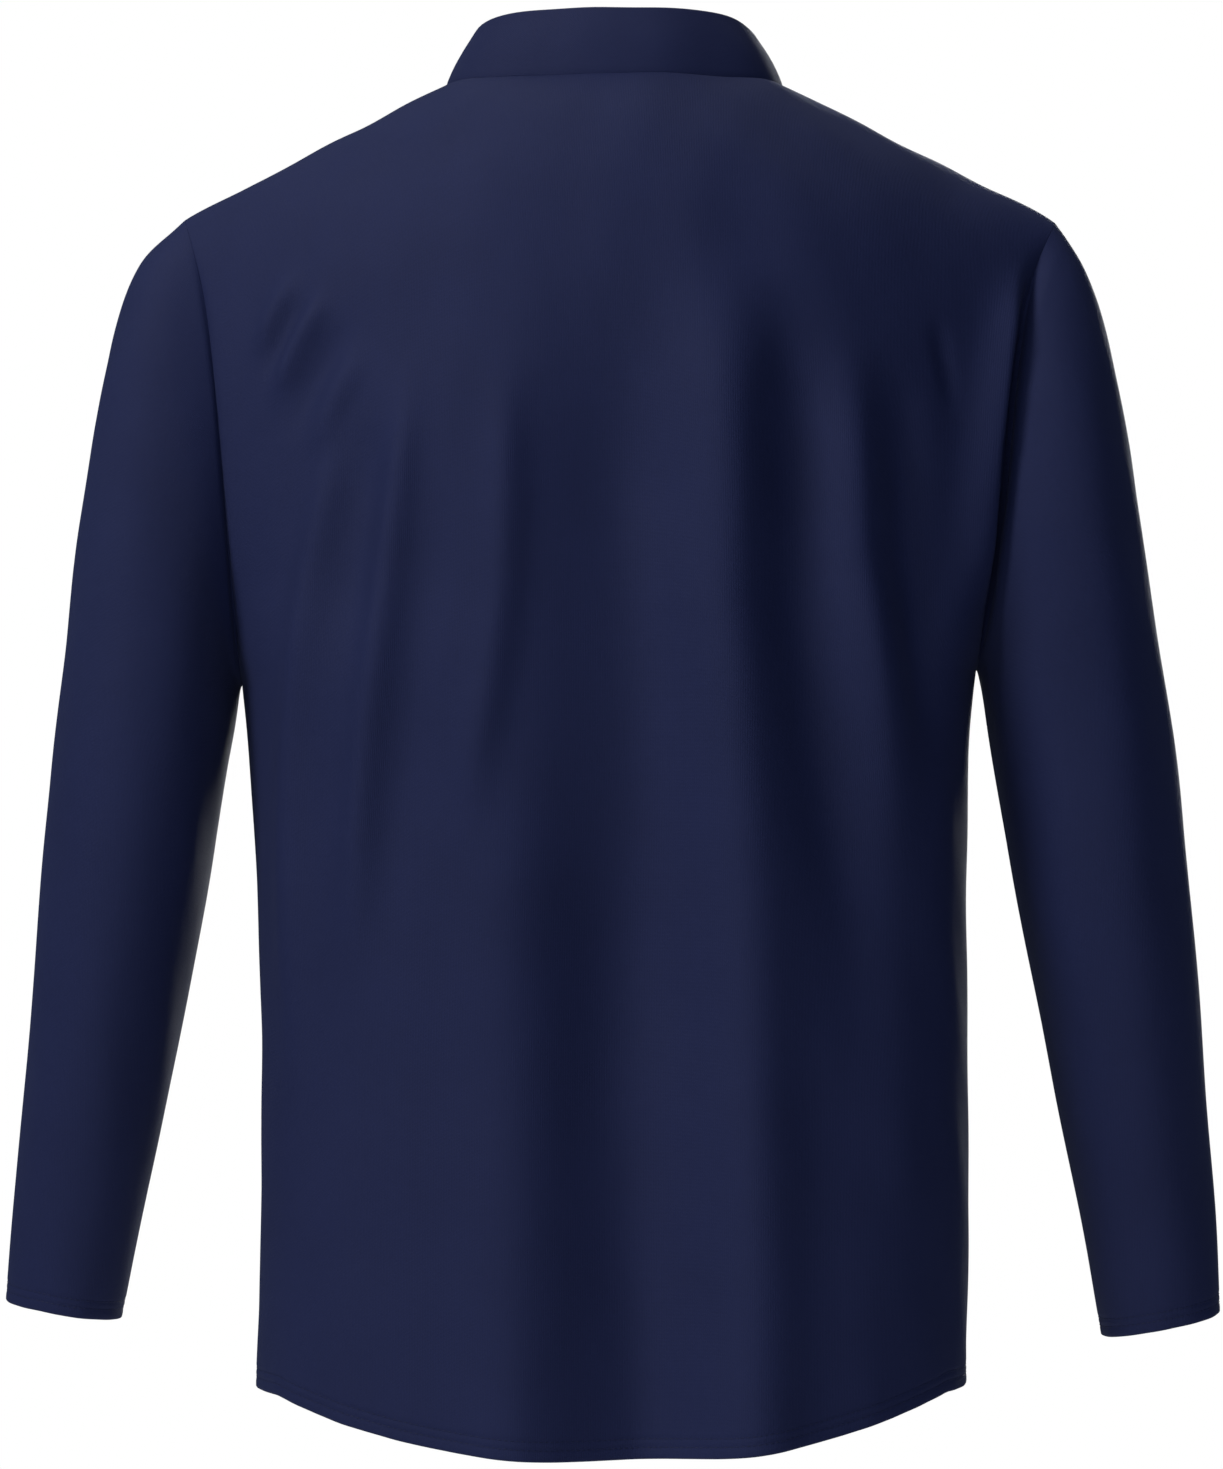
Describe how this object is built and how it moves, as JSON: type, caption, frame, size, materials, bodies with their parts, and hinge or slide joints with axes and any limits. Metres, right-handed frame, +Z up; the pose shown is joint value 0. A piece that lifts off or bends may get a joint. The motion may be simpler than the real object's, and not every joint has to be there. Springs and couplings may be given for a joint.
{
  "type": "long-sleeved knit turtleneck top with a mock collar",
  "caption": "Hollow long-sleeved knit top in its worn shape, with a short stand-up collar, set-in sleeves, a curved tail hem and turned-up hem and cuffs.",
  "frame": {"origin": "middle of the neck opening, where the collar is sewn on", "axes": "+Z up along the body, -Y out of the front, +Y out of the back, +X towards the wearer's left sleeve"},
  "size_m": [0.6631, 0.25, 0.7631],
  "materials": {
    "shell": "matt brushed navy knit",
    "collar": "matt brushed navy knit, doubled"
  },
  "bodies": {
    "root": {"back": "shell", "front": "shell", "sleeve_left": "shell", "sleeve_right": "shell", "collar": "collar"}
  },
  "joints": []
}
